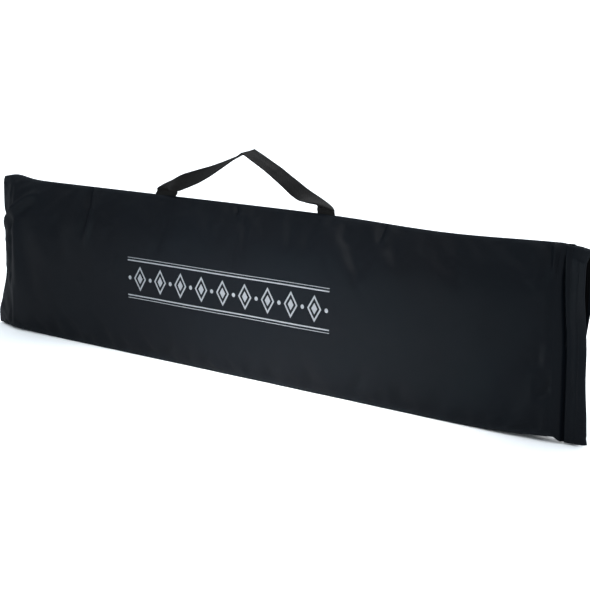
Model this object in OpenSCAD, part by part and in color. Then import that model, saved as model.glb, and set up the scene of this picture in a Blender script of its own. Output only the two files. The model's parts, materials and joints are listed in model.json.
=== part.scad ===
// Padded carry bag for a set of bar chimes: a long sleeve folded along its base, sewn along
// its top and its left end, with a hook-and-loop mouth at the right end and a webbing handle.
// X runs along the bag with the mouth at +X, -Y is the front face, Z is up. Millimetres.

/* [Bag] */
// Length from the end seam's bottom corner to the mouth's bottom corner
bag_length = 940; // [640:10:1200]
// Height of the top seam above the base
bag_height = 210; // [160:1:280]
// Thickness of the padded part
bag_thickness = 40; // [34:1:52]
// Thickness of the padded part where the closure band starts
mouth_thickness = 34; // [30:1:44]
// Length over which the padded part thins towards the mouth
mouth_taper = 90; // [50:5:140]
// Width of the flat that the bag stands on
base_width = 28; // [22:1:32]
// Height of the rounding along the base
base_round = 15; // [10:1:22]
// How far the base rises at the left end
end_lift = 2; // [0:0.5:4]
// How far the base rises at the closure band
mouth_lift = 5.5; // [0:0.5:8]
// Length over which the base rises at each end
lift_run = 140; // [60:5:180]

/* [Left end] */
// How far the end seam is drawn in above its bottom corner
end_draw = 12; // [0:1:20]
// How much further it is drawn in between its two corners
end_hollow = 9; // [0:0.5:12]
// Radius of the padded end
end_round = 30; // [20:1:45]
// Rise of the top corner above the top seam
ear_rise = 5; // [0:0.5:8]
// Distance of the raised corner's highest place from the end seam
ear_place = 38; // [20:1:60]
// Half width of the raised corner
ear_spread = 32; // [20:1:50]

/* [Fabric layers] */
// Thickness of the woven cover
cover_t = 1; // [0.6:0.1:1.4]
// Thickness of the foam padding
foam_t = 6; // [4:0.5:7]
// Thickness of the lining
lining_t = 0.6; // [0.4:0.1:1]
// Gap between layers that lie on each other
layer_gap = 0.15; // [0.1:0.05:0.2]

/* [Seams] */
// Thickness of the bound seam allowance inside the seams
seam_tape_t = 1.6; // [1:0.1:2]
// Depth of the bound seam allowance
seam_tape_depth = 12; // [8:1:16]

/* [Mouth] */
// Length of the closure band at the bottom corner
band_width = 36; // [32:1:50]
// Thickness of the folded hem that makes each lip
lip_t = 2.4; // [1.6:0.1:3]
// Width over which a lip slopes in to the closed line
lip_neck = 8; // [6:0.5:10]
// Width of the hook tape and of the loop tape
closure_tape_w = 20; // [16:0.5:22]
// Thickness of each closure tape
closure_tape_t = 1.2; // [0.8:0.1:1.6]
// How far each lip gapes at its top corner
lip_gape = 9; // [0:0.5:14]
// How far the mouth's edge is drawn in above its bottom corner
mouth_draw = 6; // [0:0.5:8]
// Fall of the lips' top edge from the band to the mouth
lip_droop = 3; // [0:0.5:6]

/* [Handle] */
// Width of the handle's webbing
strap_w = 25; // [20:1:32]
// Thickness of the handle's webbing
strap_t = 1.6; // [1.2:0.1:2]
// Distance between the handle's two ends along the top seam
handle_span = 260; // [180:5:320]
// Height of the handle's crease above the top seam
handle_rise = 63; // [45:1:90]
// Distance of the handle's middle from the bag's middle, towards the left end
handle_offset = 5; // [0:1:30]
// Depth of the strap ends that are sewn into the top seam
strap_end_depth = 14; // [10:1:18]
// Height at which the webbing stands out of the seam before it bends
strap_stand = 5; // [3:0.5:8]

/* [Hidden] */

// Clearance between pieces that turn against each other
turn_gap = 0.4;
// Half of the gap between the closed hook tape and loop tape
closed_gap = 0.15;
// Overrun of the cuts
cut_over = 1;

half_length = bag_length / 2;
end_x = -half_length;
groove_x = half_length - band_width;
padded_length = groove_x - end_x;

// Half thicknesses at the seams: the bound allowance, then one cover on each side
seam_half = seam_tape_t / 2 + layer_gap / 2;
end_half = seam_half + cover_t + layer_gap;

// Heights between which the end seam is drawn in, and where the walls curve to the top seam
draw_share = [0.04, 0.38];
// Makes the hollow's curve reach 1 at its highest place
hollow_scale = 6.75;
crown_share = 0.4;
crown_power = 3;
crown_root_share = 0.6;
// Angle of a layer's offset at the corner of the base, and at the top seam
base_corner_angle = 60;
top_angle = 90;
top_turn_share = 0.8;

// The top seam dips a little before the mouth
top_dip_share = 0.023;
dip_centre_share = 0.309;
dip_width_share = 0.122;
draw_reach = 3 * end_round;

length_steps = 18;
wall_steps = 14;

function smooth(t) = let (c = min(max(t, 0), 1)) c * c * (3 - 2 * c);
function blend(a, b, t) = a + (b - a) * t;

// Stations along the bag, closer together at both ends
function station(i) = end_x + padded_length * (1 - cos(180 * i / length_steps)) / 2;

// 1 at the left end, 0 from a short way along
function drawn(x) = pow(max(0, 1 - (x - end_x) / draw_reach), 2);

function bottom_z(x) =
    let (left = smooth(1 - (x - end_x) / lift_run), right = max(0, 1 - (groove_x - x) / lift_run))
    end_lift * left + mouth_lift * right * right;

function bell(t) = exp(-t * t);

function top_z(x) =
    let (dip = bell((x / bag_length - dip_centre_share) / dip_width_share))
    bag_height + ear_rise * bell((x - end_x - ear_place) / ear_spread) - top_dip_share * bag_height * dip;

// Half thickness of the padded part: a quarter ellipse at the end, a gentle taper at the mouth
function half_thickness(x) =
    let (
        near = min((x - end_x) / end_round, 1),
        round_share = sqrt(1 - pow(1 - near, 2)),
        thinner = (bag_thickness - mouth_thickness) / 2 * smooth((x - groove_x + mouth_taper) / mouth_taper)
    )
    end_half + (bag_thickness / 2 - end_half) * round_share - thinner;

// Half breadth of the section at a share v of its height: base flat, rounding, wall, crown
function half_breadth(x, v) =
    let (
        full = half_thickness(x),
        flat = full * base_width / bag_thickness,
        low = min(v * bag_height / base_round, 1),
        wall = flat + (full - flat) * sqrt(1 - pow(1 - low, 2)),
        w = max(0, (v - crown_share) / (1 - crown_share))
    )
    seam_half + (wall - seam_half) * pow(1 - pow(w, crown_power), crown_root_share);

// How far the end seam is drawn in: all the way above the bottom corner, and most at two thirds
function end_shift(v) =
    end_draw * smooth((v - draw_share[0]) / (draw_share[1] - draw_share[0]))
    + end_hollow * hollow_scale * v * v * (1 - v);

// Height shares down one wall, closer together at the seam and at the base
function wall_share(j) = (1 + cos(180 * j / wall_steps)) / 2;

// Angle below the horizontal in which a layer lies outside the next one
function outward_angle(v) =
    let (
        at_base = base_corner_angle * (1 - smooth(v * bag_height / base_round)),
        at_top = top_angle * smooth((v - top_turn_share) / (1 - top_turn_share))
    )
    at_base - at_top;

// A point of the bag's wall: station x, height share v, side -1 front or 1 back, depth inside
// the outer surface, and the least distance from the middle plane
function wall_point(x, v, side, depth, least) =
    let (
        a = outward_angle(v),
        y = max(half_breadth(x, v) - depth * cos(a), least),
        z = blend(bottom_z(x), top_z(x), v) + depth * sin(a)
    )
    [x + end_shift(v) * drawn(x), side * y, z];

function base_point(x, depth) = [x, 0, bottom_z(x) + depth];

// One wall of a layer at a station, from the row first_row under the seam to the base
function wall_row(x, side, depth, least, first_row) =
    [for (j = [first_row:wall_steps]) wall_point(x, wall_share(j), side, depth, least)];

function reversed(list) = [for (k = [len(list) - 1:-1:0]) list[k]];

// The whole folded section of a layer at a station: front wall, base, back wall
function folded_row(x, depth, least, first_row) = concat(
    wall_row(x, -1, depth, least, first_row),
    [base_point(x, depth)],
    reversed(wall_row(x, 1, depth, least, first_row))
);

// Front or back wall with its half of the base, from the seam to the middle of the base
function half_row(x, side, depth, least, toe, first_row) = concat(
    wall_row(x, side, depth, least, first_row),
    [base_point(x, depth) + [0, side * toe, 0]]
);

function joined(rows) = [for (row = rows) each row];

// Triangles of a grid of points, facing one way or the other
function grid_faces(rows, cols, start, turned) = [
    for (i = [0:rows - 2], j = [0:cols - 2])
        let (a = start + i * cols + j, b = a + 1, c = a + cols, d = c + 1)
        each turned ? [[a, b, d], [a, d, c]] : [[a, d, b], [a, c, d]]
];

// Triangles that close the rim between two grids, along a list of point numbers
function rim_faces(loop, jump) = [
    for (k = [0:len(loop) - 1])
        let (a = loop[k], b = loop[(k + 1) % len(loop)])
        each [[a, b, b + jump], [a, b + jump, a + jump]]
];

function rim_loop(rows, cols) = concat(
    [for (j = [0:cols - 1]) j],
    [for (i = [1:rows - 1]) i * cols + cols - 1],
    [for (j = [cols - 2:-1:0]) (rows - 1) * cols + j],
    [for (i = [rows - 2:-1:1]) i * cols]
);

// A closed solid between two grids of points; mirrored grids take turned = true
module sheet(outer, inner, turned = false) {
    rows = len(outer);
    cols = len(outer[0]);
    jump = rows * cols;
    loop = rim_loop(rows, cols);
    polyhedron(
        points = concat(joined(outer), joined(inner)),
        faces = concat(
            grid_faces(rows, cols, 0, turned),
            grid_faces(rows, cols, jump, !turned),
            rim_faces(turned ? reversed(loop) : loop, jump)
        )
    );
}

// Depths of the layers inside the outer surface
foam_out = cover_t + layer_gap;
foam_in = foam_out + foam_t;
lining_out = foam_in + layer_gap;
lining_in = lining_out + lining_t;

// Least distances from the middle plane, where the layers close up beside the seams
lining_least = seam_half + layer_gap;
foam_least = lining_least + lining_t + layer_gap;
foam_out_least = foam_least + layer_gap;

// First station and first row of the layers that stop short of the seams
inner_first = 1;
foam_row = 1;
lining_row = 2;
// First row of the end seam's binding, below the binding in the top seam
end_row = 2;

module outer_cover() {
    color("#1d2027")
        sheet(
            [for (i = [0:length_steps]) folded_row(station(i), 0, seam_half, 0)],
            [for (i = [0:length_steps]) folded_row(station(i), cover_t, seam_half, 0)]
        );
}

// The back padding runs up from the base, as the back of the folded layers does
module padding(side) {
    function row(x, depth, least) =
        let (down = half_row(x, side, depth, least, layer_gap, foam_row))
        side > 0 ? reversed(down) : down;
    color("#6a6c70")
        sheet(
            [for (i = [inner_first:length_steps]) row(station(i), foam_out, foam_out_least)],
            [for (i = [inner_first:length_steps]) row(station(i), foam_in, foam_least)]
        );
}

module front_padding() {
    padding(-1);
}

module back_padding() {
    padding(1);
}

module lining() {
    least_out = lining_least + lining_t;
    color("#2b2d31")
        sheet(
            [for (i = [inner_first:length_steps]) folded_row(station(i), lining_out, least_out, lining_row)],
            [for (i = [inner_first:length_steps]) folded_row(station(i), lining_in, lining_least, lining_row)]
        );
}

// A flat strip in the middle plane, from an outline in X and Z
module middle_strip(outline, thickness) {
    rotate([90, 0, 0])
        linear_extrude(thickness, center = true)
            polygon(outline);
}

strip_start = end_x + end_shift(wall_share(end_row)) + seam_tape_depth + cover_t;
strip_stations = concat([strip_start], [for (i = [0:length_steps]) if (station(i) > strip_start) station(i)]);
strip_drop = layer_gap + layer_gap;

module top_seam_binding() {
    upper = [for (x = strip_stations) [x, top_z(x) - strip_drop]];
    lower = [for (x = strip_stations) [x, top_z(x) - seam_tape_depth]];
    color("#15161a")
        difference() {
            middle_strip(concat(upper, reversed(lower)), seam_tape_t);
            for (end = strap_ends)
                strap_notch(end);
        }
}

module end_seam_binding() {
    // The strip keeps clear of the lining over the base and of the strip in the top seam
    shares = [for (j = [end_row:wall_steps - 3]) wall_share(j)];
    function edge(v) = [end_x + end_shift(v) + cover_t, blend(bottom_z(end_x), top_z(end_x), v)];
    outer = [for (v = shares) edge(v)];
    inner = [for (v = shares) edge(v) + [seam_tape_depth - cover_t, 0]];
    color("#15161a")
        middle_strip(concat(outer, reversed(inner)), seam_tape_t);
}

// The handle turns about a line through the webbing just above its sewn ends
handle_x = -handle_offset;
hinge_z = bag_height + strap_stand + strap_t / 2 + layer_gap;

// Each end: place along X, width along the seam as a share of the webbing's, lean in degrees
left_foot_share = 1.28;
right_foot_share = 1.03;
left_lean = 38;
right_lean = 8;
strap_ends = [
    [handle_x - handle_span / 2, left_foot_share, left_lean],
    [handle_x + handle_span / 2, right_foot_share, -right_lean]
];

module strap_end(end) {
    half = end[1] * strap_w / 2;
    rise = tan(end[2]) * strap_stand;
    run = tan(end[2]) * strap_end_depth;
    top = bag_height + strap_stand;
    low = bag_height - strap_end_depth;
    color("#232427")
        translate([end[0], 0, 0])
            middle_strip([[rise - half, top], [rise + half, top], [half - run, low], [-half - run, low]], strap_t);
}

// The gap in the seam binding that a strap end sits in
module strap_notch(end) {
    half = end[1] * strap_w / 2 + layer_gap;
    run = tan(end[2]) * strap_end_depth;
    left = end[0] - half - max(run, 0);
    right = end[0] + half - min(run, 0);
    translate([left, -seam_tape_t, bag_height - strap_end_depth - cut_over])
        cube([right - left, 2 * seam_tape_t, strap_end_depth + 2 * cut_over]);
}

module left_strap_end() {
    strap_end(strap_ends[0]);
}

module right_strap_end() {
    strap_end(strap_ends[1]);
}

// The strap's route, chosen by hand. Each row: place along the span and height, as shares of
// handle_span and of the rise above the hinge; the plan angle and the tilt of the far edge;
// and the width as a share of the webbing's.
left_foot_place_share = -0.5 + tan(left_lean) * strap_stand / handle_span;
right_foot_place_share = 0.5 - tan(right_lean) * strap_stand / handle_span;
left_route_shares = [
    [left_foot_place_share, 0, 180, 0, left_foot_share],
    [-0.483, 0.035, 179, 0, 1.24],
    [-0.479, 0.075, 170, 5, 1.12],
    [-0.466, 0.125, 155, 16, 1],
    [-0.430, 0.195, 130, 34, 1],
    [-0.360, 0.265, 108, 44, 1],
    [-0.205, 0.520, 97, 28, 1],
    [0.030, 1, 90, 6, 1]
];
right_route_shares = [
    [0.030, 1, 90, 6, 1],
    [0.190, 0.655, 87, 9, 1],
    [0.350, 0.290, 80, 16, 1],
    [0.430, 0.170, 55, 14, 1],
    [0.475, 0.110, 25, 6, 1],
    [0.491, 0.065, 8, 2, 1],
    [0.497, 0.030, 1, 0, 1.02],
    [right_foot_place_share, 0, 0, 0, right_foot_share]
];
route_steps = 3;

// A smooth curve through the rows of a route, by uniform Catmull-Rom spans
function route_row(route, k) = route[min(max(k, 0), len(route) - 1)];
function route_at(route, k, t) =
    let (
        a = route_row(route, k - 1),
        b = route_row(route, k),
        c = route_row(route, k + 1),
        d = route_row(route, k + 2)
    )
    (2 * b + (c - a) * t + (2 * a - 5 * b + 4 * c - d) * t * t + (3 * b - a - 3 * c + d) * t * t * t) / 2;
function route_curve(route) = concat(
    [for (k = [0:len(route) - 2], s = [0:route_steps - 1]) route_at(route, k, s / route_steps)],
    [route[len(route) - 1]]
);
left_curve = route_curve(left_route_shares);
right_curve = route_curve(right_route_shares);
strap_curve = concat(left_curve, [for (k = [1:len(right_curve) - 1]) right_curve[k]]);

function strap_centre(row) =
    [handle_x + row[0] * handle_span, 0, hinge_z + row[1] * (handle_rise - strap_stand)];
function strap_across(row) = [cos(row[2]) * cos(row[3]), sin(row[2]) * cos(row[3]), sin(row[3])];
function unit(v) = v / norm(v);

// Direction of the strap at ring k; straight up or down where it leaves the seam
function strap_along(k) =
    k == 0 ? [0, 0, 1]
    : k == len(strap_curve) - 1 ? [0, 0, -1]
    : unit(strap_centre(strap_curve[k + 1]) - strap_centre(strap_curve[k - 1]));

function strap_ring(k) =
    let (
        row = strap_curve[k],
        across = strap_across(row),
        face = unit(cross(strap_along(k), across)),
        side = across * row[4] * strap_w / 2,
        up = face * strap_t / 2,
        centre = strap_centre(row)
    )
    [centre - side - up, centre + side - up, centre + side + up, centre - side + up];

module handle_strap() {
    rings = len(strap_curve);
    last = (rings - 1) * 4;
    color("#232427")
        polyhedron(
            points = [for (k = [0:rings - 1]) each strap_ring(k)],
            faces = concat(
                [[0, 1, 2], [0, 2, 3]],
                [[last, last + 2, last + 1], [last, last + 3, last + 2]],
                [for (k = [0:rings - 2], c = [0:3])
                    let (a = 4 * k + c, b = 4 * k + (c + 1) % 4)
                    each [[a, a + 4, b + 4], [a, b + 4, b]]]
            )
        );
}

// The lips: rows up the mouth, columns across the band from the groove to the edge
lip_root_x = groove_x + turn_gap;
lip_columns = [
    0, lip_neck / 3, lip_neck * 2 / 3, lip_neck,
    lip_neck + closure_tape_w / 3, lip_neck + closure_tape_w * 2 / 3, lip_neck + closure_tape_w
];
lip_steps = 12;
tape_first = 3;
tape_last = 6;

// Distance of a lip's outer face from the middle plane when closed
closed_half = closed_gap + closure_tape_t + layer_gap + lip_t;
gape_start_share = 0.5;
gape_end_share = 0.95;

function lip_share(j) = (1 - cos(180 * j / lip_steps)) / 2;
function lip_edge_x(v) = half_length - mouth_draw * smooth(v / draw_share[1]);
function lip_x(c, v) = c < len(lip_columns) ? lip_root_x + lip_columns[c] : lip_edge_x(v);
function lip_z(x, v) =
    let (out = (x - groove_x) / band_width)
    blend(bottom_z(groove_x), top_z(groove_x) - lip_droop * out, v);

function lip_y(x, v) =
    let (
        across = (x - lip_root_x) / band_width,
        root = max(half_breadth(groove_x, v), lip_t + closed_gap),
        neck = smooth((x - lip_root_x) / lip_neck),
        gape = lip_gape * smooth((v - gape_start_share) / (gape_end_share - gape_start_share))
    )
    blend(root, closed_half, neck) + gape * across;

function lip_point(c, v, side, depth) =
    let (x = lip_x(c, v))
    [x, side * (lip_y(x, v) - depth), lip_z(x, v)];

function lip_rows(first_row, last_row, first_col, last_col, side, depth) = [
    for (j = [first_row:last_row])
        [for (c = [first_col:last_col]) lip_point(c, lip_share(j), side, depth)]
];

module lip(side) {
    cols = len(lip_columns);
    color("#1d2027")
        sheet(
            lip_rows(0, lip_steps, 0, cols, side, 0),
            lip_rows(0, lip_steps, 0, cols, side, lip_t),
            turned = side > 0
        );
}

module closure_tape(side) {
    tape_out = lip_t + layer_gap;
    tape_in = tape_out + closure_tape_t;
    color("#101114")
        sheet(
            lip_rows(1, lip_steps - 1, tape_first, tape_last, side, tape_out),
            lip_rows(1, lip_steps - 1, tape_first, tape_last, side, tape_in),
            turned = side > 0
        );
}

module front_lip() {
    lip(-1);
}

module back_lip() {
    lip(1);
}

module hook_tape() {
    closure_tape(-1);
}

module loop_tape() {
    closure_tape(1);
}

outer_cover();
front_padding();
back_padding();
lining();
top_seam_binding();
end_seam_binding();
left_strap_end();
right_strap_end();
handle_strap();
front_lip();
back_lip();
hook_tape();
loop_tape();
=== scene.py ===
import json
import math

import bpy
import numpy as np
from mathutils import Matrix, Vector


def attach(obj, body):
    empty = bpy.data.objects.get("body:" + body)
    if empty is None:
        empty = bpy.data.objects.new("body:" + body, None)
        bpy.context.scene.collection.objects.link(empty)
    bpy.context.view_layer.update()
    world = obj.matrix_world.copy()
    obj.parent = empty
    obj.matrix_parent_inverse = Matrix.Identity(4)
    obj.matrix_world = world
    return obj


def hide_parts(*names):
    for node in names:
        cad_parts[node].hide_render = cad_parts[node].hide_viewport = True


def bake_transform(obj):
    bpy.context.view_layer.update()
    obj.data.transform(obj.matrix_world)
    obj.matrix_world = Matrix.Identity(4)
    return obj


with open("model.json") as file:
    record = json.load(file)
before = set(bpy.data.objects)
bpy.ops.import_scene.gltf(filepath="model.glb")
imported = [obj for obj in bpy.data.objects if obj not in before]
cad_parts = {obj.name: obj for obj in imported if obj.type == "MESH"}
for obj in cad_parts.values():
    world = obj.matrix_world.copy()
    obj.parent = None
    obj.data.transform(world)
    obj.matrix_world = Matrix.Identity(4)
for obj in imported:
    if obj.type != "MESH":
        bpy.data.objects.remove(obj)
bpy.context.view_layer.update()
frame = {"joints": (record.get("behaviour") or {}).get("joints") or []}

# A long padded carry bag: one sheet of coated cloth folded along its base over two foam pads,
# sewn along its top and its left end, closed by a band of hook and loop tape at the right end,
# with a webbing handle on the top seam. X runs towards the mouth, -Y is the front, Z is up.
mm = 0.001

# Sizes of the bag: those of the model's source, apart from a flatter left end and a higher mouth
bag_length = 940 * mm
bag_height = 210 * mm
bag_thickness = 40 * mm
mouth_thickness = 34 * mm
mouth_taper = 90 * mm
base_width = 28 * mm
base_round = 15 * mm
end_lift = 2 * mm
mouth_lift = 6.8 * mm
lift_run = 150 * mm
end_draw = 13.5 * mm
draw_run = 90 * mm
end_taper = 52 * mm
ear_rise = 5 * mm
ear_place = 38 * mm
ear_spread = 32 * mm
cover_t = 1 * mm
foam_t = 6 * mm
lining_t = 0.6 * mm
layer_gap = 0.15 * mm
seam_tape_t = 1.6 * mm
seam_tape_depth = 12 * mm
lip_t = 2.4 * mm
closure_tape_t = 1.2 * mm
closed_gap = 0.15 * mm
lip_gape = 9 * mm
mouth_draw = 6 * mm
lip_droop = 4 * mm
lip_hang = 5 * mm
strap_w = 25 * mm
strap_t = 1.6 * mm
handle_span = 260 * mm
handle_rise = 63 * mm
strap_end_depth = 14 * mm
strap_stand = 5 * mm
webbing_rib = 1.6 * mm

# Places read from the frame
joints = {joint["name"]: joint for joint in frame["joints"]}
groove_x = joints["front_lip_open"]["pos_m"][0]
handle_x, _, hinge_z = joints["handle_swing"]["pos_m"]
half_length = bag_length / 2
end_x = -half_length
band_width = half_length - groove_x
seam_half = seam_tape_t / 2 + layer_gap / 2
end_half = seam_half + cover_t + layer_gap
closed_half = closed_gap + closure_tape_t + layer_gap + lip_t


def camera_at_the_photograph():
    """A camera of 1500 pixels' focal length for a picture 591 pixels high, level, looking down."""
    data = bpy.data.cameras.new("camera")
    camera = bpy.data.objects.new("camera", data)
    bpy.context.scene.collection.objects.link(camera)
    picture_height, focal_pixels = 591, 1500
    data.sensor_width = 36
    data.lens = data.sensor_width * focal_pixels / picture_height
    data.clip_start, data.clip_end = 0.05, 3000
    yaw, pitch = math.radians(40.52), math.radians(11.11)
    camera.location = (1.2036, -1.3193, 0.4495)
    camera.rotation_euler = (math.pi / 2 - pitch, 0, yaw)
    bpy.context.scene.camera = camera


camera_at_the_photograph()


# Curves and grids

def smooth(t):
    """Smoothstep, 3c^2 - 2c^3, of t held between 0 and 1."""
    c = np.clip(t, 0, 1)
    return c * c * (3 - 2 * c)


def mix(a, b, t):
    """From a at t = 0 to b at t = 1, in a straight line."""
    return a + (b - a) * t


def bump(t):
    """A bell, exp(-t^2)."""
    return np.exp(-t * t)


def unit(vectors):
    """Vectors along the last axis, made of length 1."""
    return vectors / np.maximum(np.linalg.norm(vectors, axis=-1, keepdims=True), 1e-12)


def grid_normals(points, outward):
    """Unit normals of a grid of points, from its two tangents, turned to the side of outward."""
    normals = unit(np.cross(np.gradient(points, axis=0), np.gradient(points, axis=1)))
    return normals * np.where((normals * outward).sum(-1, keepdims=True).mean() < 0, -1, 1)


def path_lengths(path):
    """Distance from a path's first point to each of its points."""
    return np.concatenate([[0], np.cumsum(np.linalg.norm(np.diff(path, axis=0), axis=1))])


def grid_lengths(points):
    """Distance along the mean row and the mean column of a grid, as the cloth's own UV, in metres."""
    along = np.linalg.norm(np.diff(points, axis=0), axis=-1).mean(1)
    across = np.linalg.norm(np.diff(points, axis=1), axis=-1).mean(0)
    u = np.concatenate([[0], np.cumsum(along)])
    v = np.concatenate([[0], np.cumsum(across)])
    return np.stack(np.meshgrid(u, v, indexing="ij"), -1)


def grid_quads(rows, cols, first):
    """Quads of a grid whose point (i, j) has the number first + i * cols + j."""
    i, j = np.meshgrid(np.arange(rows - 1), np.arange(cols - 1), indexing="ij")
    a = (first + i * cols + j).ravel()
    return np.stack([a, a + 1, a + cols + 1, a + cols], 1)


def rim_numbers(rows, cols):
    """Numbers of the points round a grid's border, in order."""
    last = (rows - 1) * cols
    return np.concatenate([
        np.arange(cols - 1),
        np.arange(rows - 1) * cols + cols - 1,
        last + np.arange(cols - 1, 0, -1),
        np.arange(rows - 1, 0, -1) * cols,
    ])


def mesh_object(name, points, quads, uv, material):
    """A smooth-shaded object in place, with one UV per point spread to its corners."""
    mesh = bpy.data.meshes.new(name)
    mesh.from_pydata(points.tolist(), [], quads.tolist())
    layer = mesh.uv_layers.new(name="cloth")
    layer.data.foreach_set("uv", uv[quads.ravel()].ravel())
    mesh.polygons.foreach_set("use_smooth", np.ones(len(quads), bool))
    mesh.set_sharp_from_angle(angle=math.radians(50))
    mesh.materials.append(material)
    mesh.validate()
    mesh.update()
    made = bpy.data.objects.new(name, mesh)
    bpy.context.scene.collection.objects.link(made)
    return made


def closed_sheet(outer, inner, uv):
    """Points, quads and UVs of a closed sheet: two grids back to back and quads round their rim.

    All of them are turned round if the outer grid's faces look towards the inner one.
    """
    rows, cols = outer.shape[:2]
    jump = rows * cols
    front = grid_quads(rows, cols, 0)
    back = grid_quads(rows, cols, jump)[:, ::-1]
    rim = rim_numbers(rows, cols)
    beside = np.roll(rim, -1)
    sides = np.stack([beside, rim, rim + jump, beside + jump], 1)
    quads = np.concatenate([front, back, sides])
    points = np.concatenate([outer.reshape(-1, 3), inner.reshape(-1, 3)])
    a, b, c = points[front[:, 0]], points[front[:, 1]], points[front[:, 3]]
    outward = (outer - inner).reshape(-1, 3)[front[:, 0]]
    if (np.cross(b - a, c - a) * outward).sum() < 0:
        quads = quads[:, ::-1]
    flat_uv = uv.reshape(-1, 2)
    return points, quads, np.concatenate([flat_uv, flat_uv])


def sheet_piece(name, outer, inner, uv, material):
    """A closed sheet as an object."""
    return mesh_object(name, *closed_sheet(outer, inner, uv), material)


def joined(parts):
    """Several lots of points, quads and UVs as one."""
    starts = np.cumsum([0] + [len(points) for points, _, _ in parts[:-1]])
    return (
        np.concatenate([points for points, _, _ in parts]),
        np.concatenate([quads + start for (_, quads, _), start in zip(parts, starts)]),
        np.concatenate([uv for _, _, uv in parts]),
    )


def spline_weights(places, knots):
    """Catmull-Rom weights, as a matrix, that carry values at even knots to other places."""
    step = knots[1] - knots[0]
    share = np.clip((places - knots[0]) / step, 0, len(knots) - 1)
    first = np.minimum(share.astype(int), len(knots) - 2)
    t = share - first
    shares = [
        (-t + 2 * t**2 - t**3) / 2,
        (2 - 5 * t**2 + 3 * t**3) / 2,
        (t + 4 * t**2 - 3 * t**3) / 2,
        (-t**2 + t**3) / 2,
    ]
    weights = np.zeros((len(places), len(knots)))
    for offset, value in zip((-1, 0, 1, 2), shares):
        column = np.clip(first + offset, 0, len(knots) - 1)
        np.add.at(weights, (np.arange(len(places)), column), value)
    return weights


# The bag's own form: x along the bag, and t round its section from the front seam at -1,
# by the middle of the base at 0, to the back seam at 1

base_share = 0.07
rounding_share = 0.55
crown_share = 0.4
dip_share, dip_place_share, dip_spread_share = 0.023, 0.309, 0.122
groove_round, groove_run = 4.4 * mm, 30 * mm
notch_depth, corner_cut, foot_out = 3 * mm, 3.5 * mm, 5 * mm
base_turn, top_turn = math.radians(60), math.radians(90)


def drawn(x):
    """1 at the left end, falling as a square to 0 over a run."""
    return np.maximum(0, 1 - (x - end_x) / draw_run) ** 2


def bottom_z(x):
    """Height of the base, which rises a little at its left end and more, as a square, at the mouth."""
    left = smooth(1 - (x - end_x) / lift_run)
    right = np.clip(1 - (groove_x - x) / lift_run, 0, 1)
    return end_lift * left + mouth_lift * right**2


def top_z(x):
    """Height of the top seam: a bell at the left corner and a shallow dip before the mouth."""
    dip = dip_share * bag_height * bump((x / bag_length - dip_place_share) / dip_spread_share)
    return bag_height + ear_rise * bump((x - end_x - ear_place) / ear_spread) - dip


def half_thickness(x):
    """Half the padded thickness: a wedge at the end, a taper and a rounding at the mouth.

    The wedge rises as 1 - (1 - share)^1.4, the taper is a smoothstep and the rounding part of
    an ellipse.
    """
    near = np.clip((x - end_x) / end_taper, 0, 1)
    taper = (bag_thickness - mouth_thickness) / 2 * smooth((x - groove_x + mouth_taper) / mouth_taper)
    turn = np.clip((x - groove_x + groove_run) / groove_run, 0, 1)
    taper += groove_round * (1 - np.sqrt(1 - 0.9 * turn**2))
    return end_half + (bag_thickness / 2 - end_half) * (1 - (1 - near) ** 1.4) - taper


def half_breadth(x, v):
    """Half the section's breadth at a share v of its height: base flat, rounding, wall and crown.

    The rounding is a quarter of an ellipse, and the crown closes to the seam as (1 - c^3)^0.6.
    """
    full = half_thickness(x)
    flat = full * base_width / bag_thickness
    low = np.minimum(v * bag_height / base_round, 1)
    wall = flat + (full - flat) * np.sqrt(1 - (1 - low) ** 2)
    crown = np.clip((v - crown_share) / (1 - crown_share), 0, 1)
    return seam_half + (wall - seam_half) * (1 - crown**3) ** 0.6


def end_shift(v):
    """How far the end seam is drawn in at a share v: out at its foot, a notch, a round corner."""
    notch = notch_depth * bump((v - 0.74) / 0.04)
    corner = corner_cut * np.clip((v - 0.955) / 0.045, 0, 1) ** 2
    foot = foot_out * smooth((0.17 - v) / 0.1)
    return end_draw * smooth((v - 0.1) / 0.28) + notch + corner - foot


def height_share(t):
    """Share of the height at t: 0 on the base, then up the wall, closer at its two ends.

    It lies between a straight line and half a wave of a cosine.
    """
    r = np.clip((np.abs(t) - base_share) / (1 - base_share), 0, 1)
    return mix(r, (1 - np.cos(np.pi * r)) / 2, rounding_share)


def bag_points(x, t, depth=0.0, least=seam_half):
    """Points of a layer at a depth inside the bag's outer surface, x down and t across.

    The depth is measured square to the surface: across the wall in its middle, more and more
    upwards near the base and downwards near the top seam.
    """
    x, t = np.meshgrid(x, t, indexing="ij")
    v = height_share(t)
    angle = base_turn * (1 - smooth(v * bag_height / base_round)) - top_turn * smooth((v - 0.8) / 0.2)
    y = np.maximum(half_breadth(x, v) - depth * np.cos(angle), least)
    y = y * np.clip(np.abs(t) / base_share, 0, 1)
    z = mix(bottom_z(x), top_z(x), v) + depth * np.sin(angle)
    z = np.where(np.abs(t) < base_share, bottom_z(x) + depth, z)
    return np.stack([x + end_shift(v) * drawn(x), np.sign(t) * y, z], -1)


# Folds and creases, as heights along the surface's normal. Each row is a line of points in x and z
# on the front wall, in mm, and then the crease's height, half width and lean in mm, and the share
# of its length over which it starts.

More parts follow.
